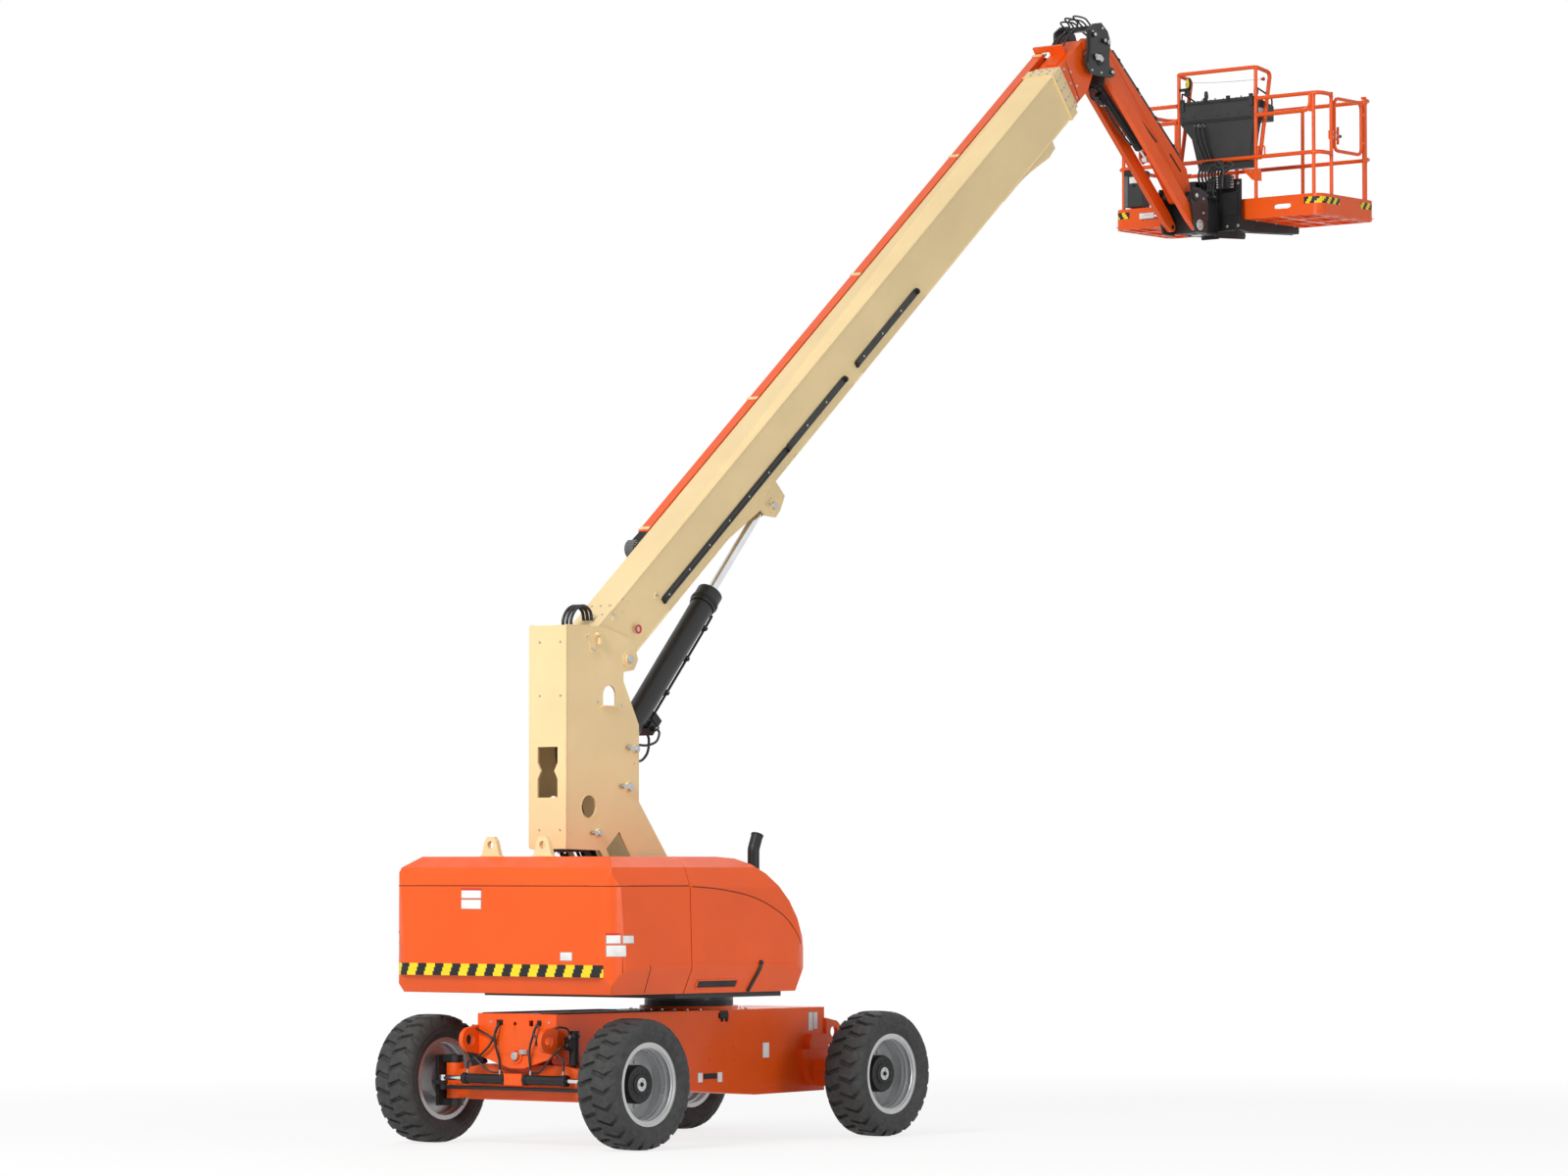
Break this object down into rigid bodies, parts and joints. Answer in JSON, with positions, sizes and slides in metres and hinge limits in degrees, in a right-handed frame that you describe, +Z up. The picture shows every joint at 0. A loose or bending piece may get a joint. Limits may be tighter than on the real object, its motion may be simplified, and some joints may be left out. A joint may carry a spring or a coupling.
{
  "type": "telescopic boom lift",
  "caption": "Self-propelled telescopic boom lift with a three-section boom, levelled jib and rotating work platform on a four-wheeled chassis.",
  "frame": {"origin": "middle of the footprint of the whole machine, on the floor", "axes": "+X the way the boom points, +Y to the left of that, +Z up"},
  "size_m": [10.8938, 2.496, 9.7002],
  "materials": {
    "orange_paint": "gloss",
    "cream_paint": "satin",
    "charcoal_paint": "satin",
    "black_steel": "matte",
    "silver_rim": "satin",
    "bright_steel": "polished",
    "zinc_tube": "satin",
    "tyre_rubber": "matte",
    "engine_metal": "rough",
    "black_plastic": "matte",
    "grey_plastic": "matte"
  },
  "bodies": {
    "chassis": {"chassis_frame": "orange_paint", "slew_ring": "black_steel", "drive_axle": "orange_paint", "steer_axle": "orange_paint", "axle_cylinders": "black_steel"},
    "steer_knuckle_left": {"steer_knuckle_left": "charcoal_paint"},
    "steer_knuckle_right": {"steer_knuckle_right": "charcoal_paint"},
    "wheel_drive_left": {"tyre_drive_left": "tyre_rubber", "rim_drive_left": "silver_rim"},
    "wheel_drive_right": {"tyre_drive_right": "tyre_rubber", "rim_drive_right": "silver_rim"},
    "wheel_steer_left": {"tyre_steer_left": "tyre_rubber", "rim_steer_left": "silver_rim"},
    "wheel_steer_right": {"tyre_steer_right": "tyre_rubber", "rim_steer_right": "silver_rim"},
    "tie_rod": {"tie_rod": "black_steel"},
    "steer_rods": {"steer_rods": "bright_steel"},
    "turntable": {"turntable_base": "charcoal_paint", "counterweight": "orange_paint", "lifting_lugs": "cream_paint", "engine": "engine_metal", "mast": "cream_paint"},
    "hood_left": {"hood_left": "orange_paint"},
    "hood_right": {"hood_right": "orange_paint", "exhaust_stack": "black_steel"},
    "base_boom": {"base_boom": "cream_paint", "boom_side_strips": "black_plastic", "track_tube": "orange_paint", "cable_chain": "grey_plastic"},
    "mid_boom": {"mid_boom": "cream_paint"},
    "fly_boom": {"fly_boom": "orange_paint"},
    "lift_barrel": {"lift_barrel": "charcoal_paint"},
    "lift_rod": {"lift_rod": "bright_steel"},
    "knuckle": {"boom_knuckle": "charcoal_paint"},
    "jib": {"jib_tube": "orange_paint", "jib_cover": "black_plastic"},
    "jib_links": {"jib_links": "orange_paint"},
    "jib_barrel": {"jib_barrel": "black_steel"},
    "jib_rod": {"jib_rod": "bright_steel"},
    "jib_bracket": {"jib_bracket": "charcoal_paint"},
    "platform": {"platform_support": "black_steel", "platform_floor": "orange_paint", "platform_rails": "orange_paint", "platform_console": "black_plastic"},
    "gate": {"platform_gate": "orange_paint"}
  },
  "joints": [
    {"name": "spin_drive_left", "type": "hinge", "parent": "chassis", "child": "wheel_drive_left", "pos_m": [-1.88608, 1.058, 0.51], "axis": [0, 1, 0], "continuous": true},
    {"name": "steer_left", "type": "hinge", "parent": "chassis", "child": "steer_knuckle_left", "pos_m": [-4.93608, 0.8, 0.51], "axis": [0, 0, 1], "range_deg": [-30, 30]},
    {"name": "spin_steer_left", "type": "hinge", "parent": "steer_knuckle_left", "child": "wheel_steer_left", "pos_m": [-4.93608, 1.058, 0.51], "axis": [0, 1, 0], "continuous": true},
    {"name": "spin_drive_right", "type": "hinge", "parent": "chassis", "child": "wheel_drive_right", "pos_m": [-1.88608, -1.058, 0.51], "axis": [0, 1, 0], "continuous": true},
    {"name": "steer_right", "type": "hinge", "parent": "chassis", "child": "steer_knuckle_right", "pos_m": [-4.93608, -0.8, 0.51], "axis": [0, 0, 1], "range_deg": [-30, 30]},
    {"name": "spin_steer_right", "type": "hinge", "parent": "steer_knuckle_right", "child": "wheel_steer_right", "pos_m": [-4.93608, -1.058, 0.51], "axis": [0, 1, 0], "continuous": true},
    {"name": "tie_rod_slide", "type": "slide", "parent": "chassis", "child": "tie_rod", "axis": [0, 1, 0], "range_m": [-0.1, 0.1]},
    {"name": "steer_rods_slide", "type": "slide", "parent": "chassis", "child": "steer_rods", "axis": [0, 1, 0], "range_m": [-0.1, 0.1]},
    {"name": "swing", "type": "hinge", "parent": "chassis", "child": "turntable", "pos_m": [-3.01108, 0, 1.2], "axis": [0, 0, 1], "continuous": true},
    {"name": "hood_left_open", "type": "hinge", "parent": "turntable", "child": "hood_left", "pos_m": [-4.05108, 0.217, 2.258], "axis": [1, 0, 0], "range_deg": [0, 65]},
    {"name": "hood_right_open", "type": "hinge", "parent": "turntable", "child": "hood_right", "pos_m": [-4.05108, -0.217, 2.258], "axis": [-1, 0, 0], "range_deg": [0, 65]},
    {"name": "boom_lift", "type": "hinge", "parent": "turntable", "child": "base_boom", "pos_m": [-3.99608, 0, 3.845], "axis": [0, -1, 0], "range_deg": [-44.6, 35.4]},
    {"name": "lift_barrel_swing", "type": "hinge", "parent": "turntable", "child": "lift_barrel", "pos_m": [-3.91108, 0, 3.13], "axis": [0, -1, 0], "range_deg": [-37.79, 30.01]},
    {"name": "lift_rod_slide", "type": "slide", "parent": "lift_barrel", "child": "lift_rod", "axis": [0.6685, 0, 0.7437], "range_m": [-0.469, 0.373]},
    {"name": "mid_slide", "type": "slide", "parent": "base_boom", "child": "mid_boom", "axis": [0.7705, 0, 0.6374], "range_m": [0, 6.5]},
    {"name": "fly_slide", "type": "slide", "parent": "mid_boom", "child": "fly_boom", "axis": [0.7705, 0, 0.6374], "range_m": [0, 6.5]},
    {"name": "platform_level", "type": "hinge", "parent": "fly_boom", "child": "knuckle", "pos_m": [2.45828, 0, 9.3701], "axis": [0, -1, 0], "range_deg": [-35.4, 44.6]},
    {"name": "jib_lift", "type": "hinge", "parent": "knuckle", "child": "jib", "pos_m": [2.57328, 0, 9.5351], "axis": [0, -1, 0], "range_deg": [-7.6, 122.4]},
    {"name": "jib_links_swing", "type": "hinge", "parent": "knuckle", "child": "jib_links", "pos_m": [2.63328, 0, 9.2721], "axis": [0, -1, 0], "range_deg": [-7.6, 122.4]},
    {"name": "jib_bracket_level", "type": "hinge", "parent": "jib", "child": "jib_bracket", "pos_m": [3.94008, 0, 8.28836], "axis": [0, -1, 0], "range_deg": [-122.4, 7.6]},
    {"name": "jib_barrel_swing", "type": "hinge", "parent": "knuckle", "child": "jib_barrel", "pos_m": [2.62828, 0, 9.2151], "axis": [0, -1, 0], "range_deg": [-7.32, 116.38]},
    {"name": "jib_rod_slide", "type": "slide", "parent": "jib_barrel", "child": "jib_rod", "axis": [0.7891, 0, -0.6142], "range_m": [-0.037, 0.562]},
    {"name": "platform_rotate", "type": "hinge", "parent": "jib_bracket", "child": "platform", "pos_m": [4.22908, 0, 8.15036], "axis": [0, 0, 1], "range_deg": [-90, 90]},
    {"name": "gate_open", "type": "hinge", "parent": "platform", "child": "gate", "pos_m": [5.30208, -1.1187, 9.22036], "axis": [0, 0, -1], "range_deg": [0, 90]}
  ],
  "couplings": [
    {"joint": "steer_right", "follows": "steer_left", "ratio": 1},
    {"joint": "tie_rod_slide", "follows": "steer_left", "m_per_rad": -0.19},
    {"joint": "steer_rods_slide", "follows": "steer_left", "m_per_rad": -0.19},
    {"joint": "lift_barrel_swing", "follows": "boom_lift", "ratio": 0.845},
    {"joint": "lift_rod_slide", "follows": "boom_lift", "m_per_rad": 0.6},
    {"joint": "fly_slide", "follows": "mid_slide", "ratio": 1},
    {"joint": "platform_level", "follows": "boom_lift", "ratio": -1},
    {"joint": "jib_links_swing", "follows": "jib_lift", "ratio": 1},
    {"joint": "jib_bracket_level", "follows": "jib_lift", "ratio": -1},
    {"joint": "jib_barrel_swing", "follows": "jib_lift", "ratio": 0.95},
    {"joint": "jib_rod_slide", "follows": "jib_lift", "m_per_rad": 0.262}
  ]
}
